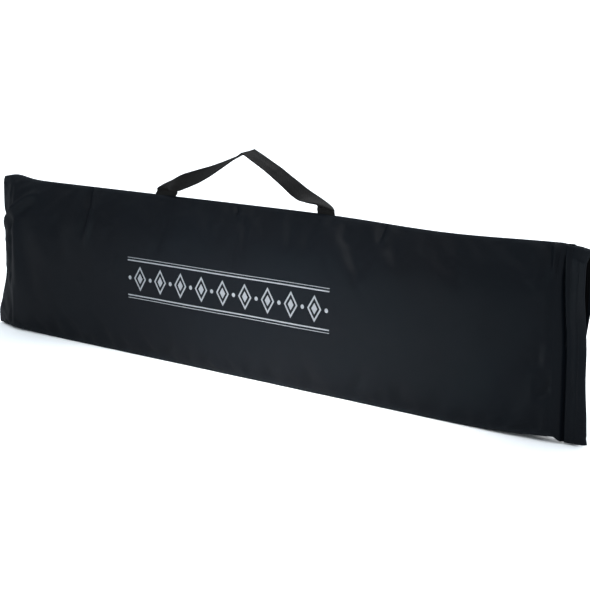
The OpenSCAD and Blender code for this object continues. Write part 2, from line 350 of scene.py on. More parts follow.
front_creases = [
    # The left corner's fold, from the wall down to the end seam, and the hollow below it
    ([(-378, 194), (-395, 186), (-409, 177), (-424, 166), (-470, 134)], 4.2, 4.6, 1.8, 0.2),
    ([(-376, 180), (-398, 170), (-420, 152), (-450, 130)], -3.2, 7, 0, 0.3),
    # The hollow where the wall turns to the end seam
    ([(-417, 166), (-411, 130), (-409, 95), (-414, 50)], 2.4, 7, 1.8, 0.2),
    ([(-430, 152), (-428, 125), (-428, 95), (-434, 50)], -4.4, 7, 0, 0.2),
    ([(-424, 146), (-431, 130), (-433, 110)], 3.2, 2.8, 0.8, 0.3),
    ([(-424, 94), (-432, 78), (-436, 58)], 2.6, 2.4, 0.8, 0.3),
    # Soft swells of the slack cloth at the left
    ([(-372, 152), (-352, 118), (-346, 90)], 1.8, 16, 0, 0.4),
    ([(-330, 170), (-318, 140), (-322, 100)], -1.6, 15, 0, 0.4),
    ([(-392, 120), (-378, 84), (-384, 50)], -1.4, 12, 0, 0.4),
    # The long upright fold, its dark side and the slack to its left
    (
        [(-266, 209), (-261, 195), (-258, 183), (-260, 168), (-264, 152), (-270, 130)],
        3.4, 4.6, 1.2, 0.3,
    ),
    ([(-276, 208), (-270, 186), (-271, 166), (-277, 138)], -3.2, 5.5, 0, 0.3),
    ([(-290, 206), (-287, 178), (-296, 140)], 1.4, 11, 0, 0.3),
    # Puckers where the top seam has gathered
    ([(-17, 212), (-13, 206), (-8, 198)], -2.4, 2.6, 0.8, 0.2),
    ([(-5, 211), (-2, 200), (1, 190)], 1.4, 4.5, 0, 0.3),
    ([(211, 207), (209, 197), (206, 186)], -2.4, 3.2, 0.8, 0.2),
    ([(221, 205), (218, 192), (214, 180)], 1.6, 5, 0, 0.3),
    # The folds of the corner above the groove
    ([(428, 209), (430, 198), (432, 184), (433, 168)], 2.8, 3.2, 0.5, 0.2),
    ([(418, 208), (423, 196), (427, 178)], -1.8, 3.6, 0, 0.3),
    ([(398, 205), (412, 190), (421, 168)], 1.4, 7, 0.8, 0.3),
    # The slack low down, drawn towards the groove
    ([(436, 68), (427, 54), (414, 40)], -2.6, 4.2, 1.2, 0.3),
    ([(432, 104), (424, 84), (408, 66)], 1.6, 6, 0.6, 0.3),
    ([(376, 40), (399, 66), (421, 98)], -1.6, 12, 0.8, 0.3),
    # Short creases low on the left
    ([(-318, 9), (-311, 11), (-304, 13)], 1.2, 2.4, 0.8, 0.3),
    ([(-283, 84), (-268, 86)], 0.9, 2.2, 0.7, 0.4),
    ([(-206, 126), (-214, 112), (-222, 98)], 0.9, 5, 0.6, 0.4),
]


def along_line(x, z, line):
    """Signed distance from a polyline, and the share of its length, for arrays of x and z."""
    line = np.array(line) * mm
    legs = np.diff(line, axis=0)
    lengths = np.linalg.norm(legs, axis=1)
    starts = np.concatenate([[0], np.cumsum(lengths)[:-1]]) / lengths.sum()
    best = np.full(x.shape, np.inf)
    signed, share = np.zeros(x.shape), np.zeros(x.shape)
    for start, leg, length, first in zip(line, legs, lengths, starts):
        dx, dz = x - start[0], z - start[1]
        along = np.clip((dx * leg[0] + dz * leg[1]) / length**2, 0, 1)
        off_x, off_z = dx - along * leg[0], dz - along * leg[1]
        far = np.hypot(off_x, off_z)
        nearer = far < best
        best = np.where(nearer, far, best)
        side = np.sign(leg[0] * off_z - leg[1] * off_x)
        signed = np.where(nearer, side * far, signed)
        share = np.where(nearer, first + along * length / lengths.sum(), share)
    return signed, share


def crease_height(x, z, line, height, width, lean, ends):
    """A bell across the line plus a leaning wave, both fading over a share of it at its two ends."""
    across, share = along_line(x, z, line)
    q = across / (width * mm)
    fade = smooth((1 - share) / 0.4) * smooth((share + ends / 2) / ends)
    return fade * (height * bump(q) + lean * q * bump(q / 1.3)) * mm


def waves(x, z, seed, count, longest, shortest):
    """The mean of plane waves of seeded directions, phases and lengths, between -1 and 1."""
    rng = np.random.default_rng(seed)
    total = np.zeros(np.broadcast(x, z).shape)
    for _ in range(count):
        angle, phase = rng.uniform(0, np.pi), rng.uniform(0, 2 * np.pi)
        length = rng.uniform(shortest, longest) * mm
        total += np.sin(2 * np.pi * (x * np.cos(angle) + z * np.sin(angle)) / length + phase)
    return total / count


def pad_relief(x, t, points):
    """Heights of the padding's swells, the gathers at the seams and the creases.

    Gathers run square to a seam, so their height follows the place along it.
    """
    side = np.sign(t)
    seed = 11
    px, pz = points[..., 0], points[..., 2]
    from_top = top_z(x) - pz
    from_end = px - end_x - end_shift(height_share(t)) * drawn(x)
    swells = 1.5 * mm * waves(px + 0.31 * side, pz, seed, 9, 190, 70)
    ripples = 0.3 * mm * waves(px - 0.17 * side, pz, seed + 1, 12, 60, 22)
    top_gathers = waves(px + 0.4 * side, 0 * pz, seed + 2, 14, 55, 11) * bump(from_top / (13 * mm))
    end_gathers = waves(0 * px + 0.3 * side, pz, seed + 3, 10, 44, 12) * bump(from_end / (20 * mm))
    mouth_gathers = waves(0 * px + 0.2 * side, pz, seed + 4, 10, 50, 14) * bump((groove_x - px) / (16 * mm))
    height = swells + ripples + (0.8 * top_gathers + 1.5 * end_gathers + 0.7 * mouth_gathers) * mm
    creases = sum(crease_height(px, pz, *crease) for crease in front_creases)
    height = height + np.where(side < 0, creases, 0.6 * creases_behind(px, pz))
    keep = smooth((np.abs(t) - base_share) / 0.08)
    keep = keep * smooth((1 - np.abs(t)) / 0.015) * smooth((groove_x - x) / (3 * mm))
    return height * keep * smooth((x - end_x) / (4 * mm))


def creases_behind(x, z):
    """The back wall's folds: the front's, moved along the bag and lower, so that the walls differ."""
    moved = [crease for k, crease in enumerate(front_creases) if k % 2 == 0]
    return sum(crease_height(x + (34 + 17 * k) * mm, z, *crease) for k, crease in enumerate(moved))


sim_columns = np.linspace(end_x, groove_x, 131)
sim_rows = np.linspace(-1, 1, 83)
foam_hold = 0.06
slack_share = 0.008
move_cap = 3.5 * mm
sim_frames = 24
cloth_settings = dict(
    quality=6, mass=0.15, air_damping=3, tension_stiffness=40, compression_stiffness=40,
    shear_stiffness=12, bending_stiffness=0.35, vertex_group_mass="pins", pin_stiffness=1.0,
    use_pressure=True, uniform_pressure_force=1.2, shrink_min=-slack_share,
)


def slack_cloth():
    """How far the cover's cloth moves when it is blown up a little over its padding.

    The cover's grid is pinned along its seams, its base and its mouth, held softly elsewhere
    as the foam holds it, grown by a little slack and pressed outwards, and every move is
    brought under a cap by tanh. The result is a grid of moves over sim_columns and sim_rows.
    """
    nominal = bag_points(sim_columns, sim_rows)
    rows, cols = nominal.shape[:2]
    mesh = bpy.data.meshes.new("slack_cloth")
    quads = grid_quads(rows, cols, 0)
    flat = nominal.reshape(-1, 3)
    a, b, c = flat[quads[:, 0]], flat[quads[:, 1]], flat[quads[:, 3]]
    middle = np.array([0, 0, bag_height / 2])
    if (np.cross(b - a, c - a) * (a - middle) * [0, 1, 0]).sum() < 0:
        quads = quads[:, ::-1]
    mesh.from_pydata(flat.tolist(), [], quads.tolist())
    cloth_object = bpy.data.objects.new("slack_cloth", mesh)
    bpy.context.scene.collection.objects.link(cloth_object)
    pins = cloth_object.vertex_groups.new(name="pins")
    x, t = np.meshgrid(sim_columns, sim_rows, indexing="ij")
    on_seam = (np.abs(t) > 0.985) | (np.abs(t) < base_share + 0.02)
    on_seam |= (x < end_x + 3 * mm) | (x > groove_x - 3 * mm)
    hold = np.where(on_seam, 1.0, foam_hold).ravel()
    for weight in (1.0, foam_hold):
        pins.add(np.flatnonzero(hold == weight).tolist(), weight, "REPLACE")
    modifier = cloth_object.modifiers.new("cloth", "CLOTH")
    for setting, value in cloth_settings.items():
        setattr(modifier.settings, setting, value)
    modifier.settings.effector_weights.gravity = 0
    modifier.collision_settings.use_self_collision = False
    modifier.point_cache.frame_start, modifier.point_cache.frame_end = 1, sim_frames
    scene = bpy.context.scene
    scene.frame_start, scene.frame_end = 1, sim_frames
    for number in range(1, sim_frames + 1):
        scene.frame_set(number)
    settled = cloth_object.evaluated_get(bpy.context.evaluated_depsgraph_get()).data
    places = np.empty(len(settled.vertices) * 3)
    settled.vertices.foreach_get("co", places)
    moves = places.reshape(nominal.shape) - nominal
    bpy.data.objects.remove(cloth_object)
    bpy.data.meshes.remove(mesh)
    scene.frame_set(1)
    size = np.linalg.norm(moves, axis=-1, keepdims=True)
    return moves * np.tanh(size / move_cap) * move_cap / np.maximum(size, 1e-9)


cloth_moves = slack_cloth()


def cover_shift(x, t):
    """The whole move of the cover's surface at x and t: the simulated cloth's and the relief's."""
    by_cloth = np.einsum(
        "ai,ijk,bj->abk", spline_weights(x, sim_columns), cloth_moves, spline_weights(t, sim_rows)
    )
    points = bag_points(x, t)
    normals = grid_normals(points + by_cloth, points * [0, 1, 0])
    x_grid, t_grid = np.meshgrid(x, t, indexing="ij")
    return by_cloth + normals * pad_relief(x_grid, t_grid, points)[..., None]


# Where the columns stand closer, over how many mm, and by what share
crowded_places = [
    (end_x, 45, 3.0), (groove_x, 35, 1.6), (-265 * mm, 18, 1.2), (-5 * mm, 16, 1.2),
    (209 * mm, 16, 1.2), (-405 * mm, 30, 0.8),
]


def bag_columns(count):
    """Places along the bag, closer together at its two ends and at the larger folds.

    They are even steps of a running sum, which a bell raises at each crowded place.
    """
    x = np.linspace(end_x, groove_x, 4000)
    closer = [bump((x - place) / (spread * mm)) * share for place, spread, share in crowded_places]
    reach = np.cumsum(1 + sum(closer))
    return np.interp(np.linspace(reach[0], reach[-1], count), reach, x)


def cover_grid():
    """The cover's outer surface: the bag's own form with the cover's move added."""
    x = bag_columns(290)
    t = np.linspace(-1, 1, 151)
    return bag_points(x, t) + cover_shift(x, t)


# Materials. One function turns a hex value to linear light, one fills a node's inputs and one
# adds a node.

def linear(hex_value):
    """Linear RGBA of an sRGB hex value."""
    parts = [int(hex_value[k:k + 2], 16) / 255 for k in (1, 3, 5)]
    return [p / 12.92 if p <= 0.04045 else ((p + 0.055) / 1.055) ** 2.4 for p in parts] + [1.0]


def fill_inputs(tree, node, inputs):
    """Links each input of a node that gets a socket, and sets each that gets a value."""
    for key, value in inputs.items():
        if isinstance(value, bpy.types.NodeSocket):
            tree.links.new(value, node.inputs[key])
        else:
            node.inputs[key].default_value = value


def add_node(tree, kind, inputs=None, **settings):
    """Adds a node with its settings, fills its inputs and returns its outputs."""
    node = tree.nodes.new("ShaderNode" + kind)
    for name, value in settings.items():
        setattr(node, name, value)
    fill_inputs(tree, node, inputs or {})
    return node.outputs


def new_material(name):
    """An empty node material, its tree and its principled shader."""
    material = bpy.data.materials.new(name)
    material.use_nodes = True
    tree = material.node_tree
    return material, tree, tree.nodes["Principled BSDF"]


def weave_height(tree, pitch):
    """Plain weave on the cloth's UV: the product of two sines, up and down in turn like a chessboard."""
    uv = add_node(tree, "UVMap", uv_map="cloth")[0]
    threads = add_node(tree, "SeparateXYZ", {0: uv})
    sines = []
    for across in (threads[0], threads[1]):
        turn = add_node(tree, "Math", {0: across, 1: math.pi / pitch}, operation="MULTIPLY")[0]
        sines.append(add_node(tree, "Math", {0: turn}, operation="SINE")[0])
    product = add_node(tree, "Math", dict(enumerate(sines)), operation="MULTIPLY")[0]
    return add_node(tree, "Math", {0: product, 1: 0.5, 2: 0.5}, operation="MULTIPLY_ADD")[0]


def coated_nylon(name, printed):
    """Plain-woven nylon with a thin coating: nearly black with a cold tint, softly shiny.

    The coating gives the cloth a dull sheen without a sharp reflection, and its rubbed folds
    are a little greyer.
    """
    material, tree, shader = new_material(name)
    # The real threads are 0.5 mm apart; they are drawn 1.1 mm apart to show at all
    weave = weave_height(tree, 1.1 * mm)
    place = add_node(tree, "TexCoord")["Object"]
    cloudy = add_node(tree, "TexNoise", {"Vector": place, "Scale": 4.5, "Detail": 3.0})[0]
    fine = add_node(tree, "TexNoise", {"Vector": place, "Scale": 900.0, "Detail": 2.0})[0]
    tone = add_node(tree, "MixRGB", {0: cloudy, 1: linear("#09080b"), 2: linear("#070d12")})[0]
    worn = add_node(tree, "Attribute", attribute_name="worn")["Fac"]
    tone = add_node(tree, "MixRGB", {0: worn, 1: tone, 2: linear("#14171b")})[0]
    threads = add_node(tree, "MapRange", {0: weave, 1: 0.0, 2: 1.0, 3: 0.86, 4: 1.12})[0]
    colour = add_node(tree, "VectorMath", {0: tone, "Scale": threads}, operation="SCALE")[0]
    roughness = add_node(tree, "MapRange", {0: fine, 1: 0.3, 2: 0.7, 3: 0.5, 4: 0.66})[0]
    if printed:
        ink = lozenge_print(tree, place)
        colour = add_node(tree, "MixRGB", {0: ink, 1: colour, 2: linear("#7a7c80")})[0]
    relief = add_node(tree, "Bump", {"Height": weave, "Strength": 0.25, "Distance": 0.12 * mm})[0]
    fill_inputs(tree, shader, {
        "Base Color": colour,
        "Roughness": roughness,
        "Specular IOR Level": 0.0,
        "Coat Weight": 0.14,
        "Coat Roughness": 0.46,
        "Coat IOR": 1.45,
        "Normal": relief,
    })
    return material


# The print's place on the front wall, the sizes of its lozenges, dots and lines, and how far
# each line lies from its middle
print_centre = (-19 * mm, 103 * mm)
print_half_width = 166 * mm
print_period = 36 * mm
lozenge_half = (10.5 * mm, 16 * mm)
dot_radius = 2.6 * mm
line_place, line_half = 22.5 * mm, 0.8 * mm
thin_line_place, thin_line_half = 26 * mm, 0.4 * mm


def lozenge_print(tree, place):
    """Mask of the print: lozenge rings with a lozenge inside, dots between, two lines on each side.

    Each step is a name, an operation and its values, which are numbers or the names of earlier
    steps. A lozenge is where the sum of the two distances, as shares of its halves, is under 1.
    """
    xyz = add_node(tree, "SeparateXYZ", {0: place})
    grain = add_node(tree, "TexNoise", {"Vector": place, "Scale": 1400.0, "Detail": 2.0})[0]
    patchy = add_node(tree, "MapRange", {0: grain, 1: 0.3, 2: 0.6, 3: 0.72, 4: 1.0})[0]
    steps = [
        ("from_centre", "SUBTRACT", "x", print_centre[0]),
        ("from_middle", "SUBTRACT", "z", print_centre[1]),
        ("along", "ABSOLUTE", "from_centre"),
        ("off", "ABSOLUTE", "from_middle"),
        ("to_lozenge", "PINGPONG", "along", print_period / 2),
        ("to_dot", "SUBTRACT", print_period / 2, "to_lozenge"),
        ("share_along", "DIVIDE", "to_lozenge", lozenge_half[0]),
        ("share_off", "DIVIDE", "off", lozenge_half[1]),
        ("reach", "ADD", "share_along", "share_off"),
        ("ring", "COMPARE", "reach", 0.88, 0.12),
        ("heart", "LESS_THAN", "reach", 0.42),
        ("off_square", "MULTIPLY", "off", "off"),
        ("dot_square", "MULTIPLY_ADD", "to_dot", "to_dot", "off_square"),
        ("dot", "LESS_THAN", "dot_square", dot_radius**2),
        ("line", "COMPARE", "off", line_place, line_half),
        ("thin_line", "COMPARE", "off", thin_line_place, thin_line_half),
        ("lozenge", "MAXIMUM", "ring", "heart"),
        ("row", "MAXIMUM", "lozenge", "dot"),
        ("lines", "MAXIMUM", "line", "thin_line"),
        ("drawing", "MAXIMUM", "row", "lines"),
        ("within", "LESS_THAN", "along", print_half_width),
        ("in_front", "LESS_THAN", "y", -8 * mm),
        ("on_wall", "MULTIPLY", "within", "in_front"),
        ("on_print", "MULTIPLY", "drawing", "on_wall"),
        ("ink", "MULTIPLY", "on_print", "patchy"),
    ]
    made = dict(x=xyz[0], y=xyz[1], z=xyz[2], patchy=patchy)
    for name, operation, *values in steps:
        inputs = {k: made.get(value, value) for k, value in enumerate(values)}
        made[name] = add_node(tree, "Math", inputs, operation=operation)[0]
    return made["ink"]


def simple_cloth(name, dark, light, pitch, roughness, strength):
    """A woven material in two tones, with a plain weave of its own pitch broken up by fibres."""
    material, tree, shader = new_material(name)
    weave = weave_height(tree, pitch)
    place = add_node(tree, "TexCoord")["Object"]
    fibres = add_node(tree, "TexNoise", {"Vector": place, "Scale": 420.0, "Detail": 3.0})[0]
    shade = add_node(tree, "Math", {0: weave, 1: fibres}, operation="MULTIPLY")[0]
    shade = add_node(tree, "MapRange", {0: shade, 1: 0.1, 2: 0.5, 3: 0.0, 4: 1.0})[0]
    colour = add_node(tree, "MixRGB", {0: shade, 1: linear(dark), 2: linear(light)})[0]
    relief = add_node(tree, "Bump", {"Height": shade, "Strength": strength, "Distance": 0.2 * mm})[0]
    surface = {"Base Color": colour, "Roughness": roughness, "Specular IOR Level": 0.05, "Normal": relief}
    fill_inputs(tree, shader, surface)
    return material


def foam_material():
    """Closed-cell foam sheet: grey, matt, with small cells cut open on its faces."""
    material, tree, shader = new_material("closed_cell_foam")
    place = add_node(tree, "TexCoord")["Object"]
    cells = add_node(tree, "TexVoronoi", {"Vector": place, "Scale": 900.0})["Distance"]
    colour = add_node(tree, "MixRGB", {0: cells, 1: linear("#56585c"), 2: linear("#7d8085")})[0]
    relief = add_node(tree, "Bump", {"Height": cells, "Strength": 0.4, "Distance": 0.3 * mm})[0]
    fill_inputs(tree, shader, {"Base Color": colour, "Roughness": 0.9, "Normal": relief})
    return material


cover_cloth = coated_nylon("coated_plain_weave_nylon_with_screen_print", printed=True)
band_cloth = coated_nylon("coated_plain_weave_nylon", printed=False)
# Polypropylene webbing, woven in ribs of 1.6 mm: black and matt, with grey glints on the ribs
webbing = simple_cloth("polypropylene_webbing", "#080707", "#11100f", webbing_rib, 0.6, 0.5)
# Thin woven polyester, dyed dark grey: smooth and dull
lining_cloth = simple_cloth("plain_weave_lining", "#15161a", "#22242a", 0.9 * mm, 0.7, 0.3)
# Woven tape, a little coarser and darker than the lining
binding_cloth = simple_cloth("woven_binding_tape", "#121316", "#1f2126", 1.0 * mm, 0.7, 0.4)
# Bonded thread, twisted tightly: a fine dark line with a faint shine
thread = simple_cloth("bonded_nylon_thread", "#0b0c0e", "#16181b", 0.6 * mm, 0.5, 0.3)
foam = foam_material()
# Nylon moulded with small hooks: hard and slightly shiny
hook_nylon = simple_cloth("moulded_hook_tape", "#060607", "#0e0e10", 1.8 * mm, 0.4, 0.2)
# Knitted loops, brushed up and matt, made blacker than the tape itself: painted shade for the shadow inside
# the mouth's gape
loop_pile_painted_dark = simple_cloth("knitted_loop_tape_with_painted_shade", "#030304", "#08080a", 1.4 * mm, 0.95, 0.8)


# The pieces

def rim_spaced(start, end, count, radius):
    """Even places from start to end, with close ones inside a radius of both ends for round rims."""
    close = radius * np.array([0, 0.06, 0.25, 0.6])
    return np.concatenate([
        start + close, np.linspace(start + radius, end - radius, count), (end - close)[::-1]
    ])


def rim_share(distance, radius):
    """Share of the thickness at a distance from a rim: a quarter circle, never under a fifth."""
    near = np.clip(distance / radius, 0, 1)
    return np.maximum(np.sqrt(1 - (1 - near) ** 2), 0.2)


def float_attribute(piece, name, values):
    """Stores one value per point of a closed sheet, the same on both of its faces."""
    layer = piece.data.attributes.new(name, "FLOAT", "POINT")
    layer.data.foreach_set("value", np.concatenate([values.ravel(), values.ravel()]).astype(np.float32))


# The strap's two feet in the top seam: their middles, their widths as shares of the webbing's and
# how far they lean; and half the slot that the seam leaves for the webbing
strap_slot_half = 0.86 * mm
strap_feet = [
    dict(x=handle_x - handle_span / 2 - 3 * mm, share=1.46, lean=math.radians(34)),
    dict(x=handle_x + handle_span / 2 - 2 * mm, share=1.03, lean=math.radians(-8)),
]


def at_strap_foot(x):
    """1 where a strap end comes out of the top seam, falling to 0 over 4 mm beside it."""
    reach = [np.abs(x - foot["x"]) - foot["share"] * strap_w / 2 - 1 * mm for foot in strap_feet]
    return smooth(1 - np.minimum(*reach) / (4 * mm))


def make_cover():
    """The folded cover: its outer grid with turned-in edges, and the same a cloth's thickness inside.

    Each row of a tuck is a share of the edge's distance from the middle plane, and how many mm it
    lies inside the edge. At the strap's feet the tucks stay open for the webbing.
    """
    points = cover_grid()
    end_tucks = [(0.15, 2.6), (0.15, 1.6), (0.45, 0.5)]
    top_tucks = [(0.35, 0.5), (0.1, 1.4), (0.1, 2.6)]
    ends = np.array([points[0] * [1, share, 1] + [depth * mm, 0, 0] for share, depth in end_tucks])
    grid = np.concatenate([ends, points])
    open_half = strap_slot_half * at_strap_foot(grid[:, 0, 0])

    def turned_row(edge, share, drop):
        """An edge moved towards the middle plane and down, but kept off the webbing at its feet."""
        row = edge * [1, share, 1] - [0, 0, drop * mm]
        row[:, 1] = np.sign(edge[:, 1]) * np.maximum(np.abs(row[:, 1]), open_half)
        return row

    front = [turned_row(grid[:, 0], *tuck) for tuck in top_tucks[::-1]]
    back = [turned_row(grid[:, -1], *tuck) for tuck in top_tucks]
    whole = np.concatenate([np.stack(front, 1), grid, np.stack(back, 1)], 1)
    inner = whole - grid_normals(whole, whole * [0, 1, 0]) * cover_t
    cover = sheet_piece("cover_shell", whole, inner, grid_lengths(whole), cover_cloth)
    float_attribute(cover, "worn", cover_wear(whole))
    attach(cover, "bag")
    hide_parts("outer_cover")


def cover_wear(points):
    """Rubbing along the base's two folds, the top seam and the end seam, broken up by waves."""
    x, z = points[..., 0], points[..., 2]
    patches = 0.6 + 0.4 * waves(x, z * 3, 71, 12, 90, 12)
    at_base = bump((z - bottom_z(x) - 2 * mm) / (4 * mm))
    at_top = 0.8 * bump((top_z(x) - z) / (3 * mm))
    at_end = 0.7 * bump((x - end_x - 8 * mm) / (14 * mm))
    return np.clip(np.maximum(np.maximum(at_base, at_top), at_end) * patches, 0, 1)


pad_from_end, pad_from_groove = 14 * mm, 5 * mm
pad_inset, pad_top_inset = 1.5 * mm, 3.5 * mm


def make_pad(name, node, side):
    """One foam pad: its outer face follows the cover and its inner face follows half as much.

    It lies a little inside the cover, and deeper near the top seam, so that no crease uncovers it.
    """
    x = bag_columns(250)
    x = x[(x > end_x + pad_from_end) & (x < groove_x - pad_from_groove)]
    t = side * np.linspace(0.91, 0.004, 90)
    deep = cover_t + mix(pad_inset, pad_top_inset, smooth((np.abs(t) - 0.8) / 0.1))
    shift = cover_shift(x, np.sort(t))
    shift = shift if side < 0 else shift[:, ::-1]
    thin = 1 - smooth((x - groove_x + 14 * mm) / (11 * mm))[:, None]
    least = seam_half + lining_t + 3 * layer_gap
    outer = bag_points(x, t, deep, least)
    inner = bag_points(x, t, deep + mix(1 * mm, foam_t - pad_inset, thin), least - layer_gap)
    room = np.clip((np.abs(inner[..., 1:2]) - least) / (5 * mm), 0, 1)
    near_base = np.clip(np.abs(t) / base_share, 0, 1)[None, :, None]
    outer = outer + shift * near_base
    inner = inner + shift * 0.5 * room * near_base
    pad = sheet_piece(name, outer, inner, grid_lengths(outer), foam)
    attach(pad, "bag")
    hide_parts(node)


def make_lining():
    """The folded lining inside the pads; at the mouth it comes out to the lips' inner faces."""
    x = np.concatenate([
        np.linspace(end_x + 10 * mm, groove_x - 20 * mm, 110),
        np.linspace(groove_x - 18 * mm, groove_x - 0.2 * mm, 16),
    ])
    t = np.linspace(-0.96, 0.96, 91)
    near = smooth((x - groove_x + 14 * mm) / (13 * mm))[:, None]
    out = cover_t + 2 * layer_gap + foam_t + 4 * mm * smooth((np.abs(t) - 0.8) / 0.12)
    least = seam_half + layer_gap
    swells = 0.35 * mm * waves(x[:, None], t[None, :] * 0.2, 31, 9, 120, 30)
    deep = mix(out, 2.5 * mm, near) + swells
    outer = bag_points(x, t, deep, least + lining_t)
    inner = bag_points(x, t, deep + lining_t, least)
    lining = sheet_piece("lining_sleeve", outer, inner, grid_lengths(outer), lining_cloth)
    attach(lining, "bag")
    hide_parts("lining")


def flat_tape(edge_a, edge_b, thickness):
    """A strip in the middle plane between two edges, with round rims and a faint wave."""
    share = rim_spaced(0, 1, 9, 0.07)[None, :, None]
    middle = mix(edge_a[:, None], edge_b[:, None], share)
    along = np.linspace(0, 1, len(edge_a))[:, None]
    width = np.linalg.norm(edge_b - edge_a, axis=1)[:, None]
    half = thickness / 2 * rim_share(np.minimum(share[..., 0], 1 - share[..., 0]) * width, 0.8 * mm)
    half = half * (0.93 + 0.07 * np.cos(along * len(edge_a) * 0.9))
    offset = half[..., None] * np.array([0, 1, 0])
    return closed_sheet(middle - offset, middle + offset, grid_lengths(middle))


seam_tape_inset = 2.9 * mm


def make_seam_tapes():
    """The bound allowances: three lengths in the top seam, broken at the strap ends, and one at the end."""
    width = seam_tape_depth - seam_tape_inset
    starts, ends = [end_x + end_draw + 16 * mm], []
    for foot in strap_feet:
        half = foot["share"] * strap_w / 2 + layer_gap
        run = math.tan(foot["lean"]) * strap_end_depth
        ends.append(foot["x"] - half - max(run, 0))
        starts.append(foot["x"] + half - min(run, 0))
    ends.append(groove_x - 0.5 * mm)
    lengths = []
    for start, end in zip(starts, ends):
        x = np.linspace(start, end, 60)
        upper = np.stack([x, 0 * x, top_z(x) - seam_tape_inset], 1)
        lengths.append(flat_tape(upper, upper - [0, 0, width], seam_tape_t))
    tape = mesh_object("top_seam_tape", *joined(lengths), binding_cloth)
    v = np.linspace(0.1, 0.9, 60)
    height = mix(bottom_z(end_x), top_z(end_x), v)
    edge = np.stack([end_x + end_shift(v) + seam_tape_inset, 0 * v, height], 1)
    end_lot = flat_tape(edge, edge + [width, 0, 0], seam_tape_t)
    end_tape = mesh_object("end_seam_tape", *end_lot, binding_cloth)
    for piece, node in ((tape, "top_seam_binding"), (end_tape, "end_seam_binding")):
        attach(piece, "bag")
        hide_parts(node)


# The webbing's route. Each row: place along the span and height above the hinge, as shares; the
# plan angle and the tilt of the far edge in degrees; the width as a share of the webbing's; and
# how many mm it leans to the front.
left_route = [
    [-0.501, 0.020, 180, 0, 1.3, 1.6], [-0.495, 0.055, 176, 2, 1.16, 4],
    [-0.485, 0.093, 156, 8, 1, 5.5], [-0.459, 0.140, 124, 26, 1, 3.5],
    [-0.389, 0.228, 106, 54, 1, 1], [-0.205, 0.515, 97, 38, 1, 0], [0.030, 1, 90, 6, 1, 0],
]
right_route = [
    [0.030, 1, 90, 6, 1, 0], [0.190, 0.655, 87, 9, 1, 0], [0.345, 0.258, 86, 18, 1, 0],
    [0.420, 0.142, 70, 4, 1, 1], [0.469, 0.077, 44, -8, 1, 2.4], [0.495, 0.034, 15, -14, 1, 3],
    [0.496, 0.010, 1, -8, 1.02, 1.6],
]


rib_height, selvage_height, twill_height = 0.11 * mm, 0.12 * mm, 0.05 * mm
twill_pitch = 2.2 * mm


def foot_rows(foot, angle):
    """Rows of a strap end from inside the seam up to the hinge, along its lean."""
    rows = []
    for drop in (-strap_end_depth, -9 * mm, -4 * mm, 0.5 * mm, strap_stand):
        place = (foot["x"] + math.tan(foot["lean"]) * drop - handle_x) / handle_span
        height = (drop + bag_height - hinge_z) / (handle_rise - strap_stand)
        rows.append([place, height, angle, 0, foot["share"], 0])
    return rows


def route_curve(rows, steps):
    """A Catmull-Rom curve through the rows, with a number of steps for each span."""
    rows = np.array(rows, float)
    places = np.linspace(0, len(rows) - 1, steps * (len(rows) - 1) + 1)
    return spline_weights(places, np.arange(len(rows), dtype=float)) @ rows


def make_webbing():
    """The handle: ribbed webbing carried along its route, creased at its highest place.

    The section is flat with round selvages. Ribs run along it, as a cosine of the place across,
    and a shallower twill crosses them, as a sine of the place along.
    """
    left = route_curve(foot_rows(strap_feet[0], 180) + left_route, 18)
    right = route_curve(right_route + foot_rows(strap_feet[1], 0)[::-1], 18)
    rows = np.concatenate([left, right[1:]])
    centre = np.stack([
        handle_x + rows[:, 0] * handle_span,
        -rows[:, 5] * mm,
        hinge_z + rows[:, 1] * (handle_rise - strap_stand),
    ], 1)
    plan, tilt = np.radians(rows[:, 2]), np.radians(rows[:, 3])
    across = np.stack([np.cos(plan) * np.cos(tilt), np.sin(plan) * np.cos(tilt), np.sin(tilt)], 1)
    face = unit(np.cross(unit(np.gradient(centre, axis=0)), across))
    half_width = strap_w / 2 * rows[:, 4]
    share = rim_spaced(-1, 1, 65, 0.06)[None, :]
    s = share * half_width[:, None]
    along = path_lengths(centre)[:, None]
    ribs = rib_height * np.cos(2 * np.pi * share * strap_w / 2 / webbing_rib)
    selvage = selvage_height * bump((np.abs(share) - 0.94) / 0.05)
    twill = twill_height * np.sin(2 * np.pi * along / twill_pitch + 3 * np.sign(ribs))
    from_rim = (1 - np.abs(share)) * strap_w / 2
    half = strap_t / 2 * rim_share(from_rim, 0.8 * mm)
    wavy = 0.5 * mm * waves(along, s * 3, 41, 8, 90, 25) * smooth((centre[:, 2:3] - hinge_z) / (14 * mm))
    middle = centre[:, None] + across[:, None] * s[..., None] + face[:, None] * wavy[..., None]
    relief = (ribs + selvage + twill) * rim_share(from_rim, 1.5 * mm)
    offset = face[:, None] * (half + relief - 0.1 * mm)[..., None]
    uv = np.stack([np.broadcast_to(along, s.shape), s + strap_w], -1)
    strap = sheet_piece("handle_webbing", middle + offset, middle - offset, uv, webbing)
    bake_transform(strap)
    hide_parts("handle_strap", "left_strap_end", "right_strap_end")


# The lips: q runs from the groove to the mouth's edge, v from the base to the top

neck_low, neck_high = 9.8 * mm, 6.2 * mm
stitch_lines = (14 * mm, 24.5 * mm)
tack_from, tack_to, tack_z = 23 * mm, 35 * mm, 25.5 * mm
dent_place, dent_z = 20 * mm, 50 * mm
knob_from, knob_z = 29 * mm, 13 * mm
edge_from = 22 * mm
front_draw, back_draw = 3.2 * mm, 8.5 * mm
hem_round = 1.2 * mm


def neck_width(v):
    """Width of the slope beside the groove, less towards the top."""
    return mix(neck_low, neck_high, smooth((v - 0.45) / 0.5))


